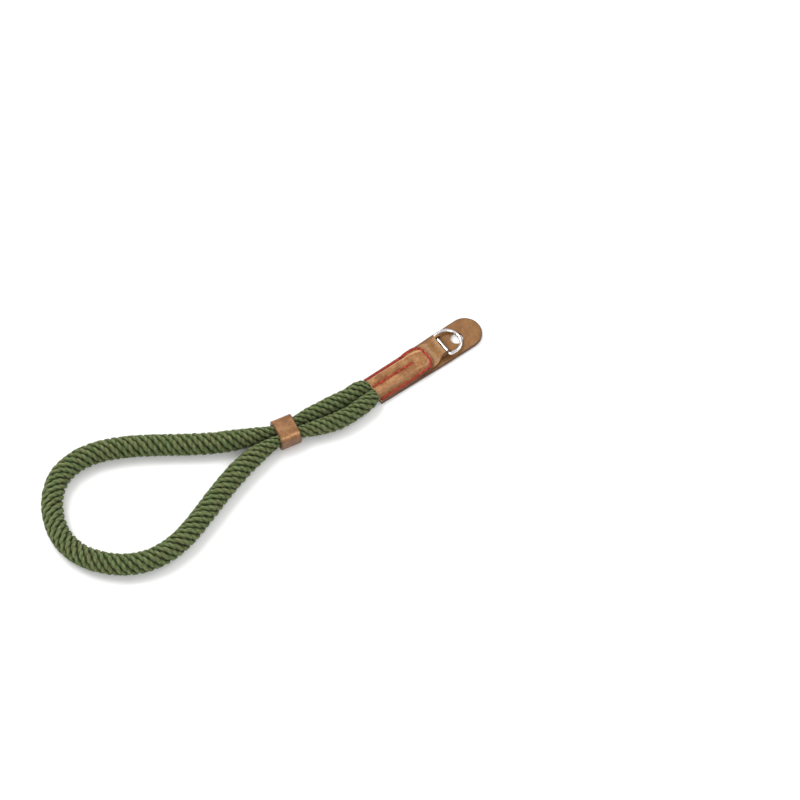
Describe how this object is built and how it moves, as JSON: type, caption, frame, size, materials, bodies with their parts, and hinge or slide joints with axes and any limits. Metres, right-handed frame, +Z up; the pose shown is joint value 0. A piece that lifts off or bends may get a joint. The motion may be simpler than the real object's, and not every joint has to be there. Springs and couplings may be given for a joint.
{
  "type": "camera wrist strap",
  "caption": "Camera wrist strap: thick braided rope doubled into a hand loop, with a leather keeper and a stitched leather end that holds a D ring over a protector flap.",
  "frame": {"origin": "on the underside of the protector flap, straight below the ring's bar", "axes": "+X along the leather end towards the flap's tip, away from the hand loop; +Z up out of the surface that the strap lies on"},
  "size_m": [0.2247, 0.0724, 0.0108],
  "materials": {
    "rope_cotton": "matte braided cotton",
    "keeper_leather": "smooth, satin",
    "end_leather": "fine grain, satin",
    "stitch_thread": "waxed thread",
    "ring_metal": "polished"
  },
  "bodies": {
    "strap": {"rope": "rope_cotton", "keeper": "keeper_leather", "sleeve_cover": "end_leather", "ring_tab": "end_leather", "protector_flap": "end_leather"},
    "ring": {"ring": "ring_metal"}
  },
  "joints": [
    {"name": "ring_hinge", "type": "hinge", "parent": "strap", "child": "ring", "pos_m": [0, 0, 0.00395], "axis": [0, -1, 0], "range_deg": [0, 155]}
  ]
}
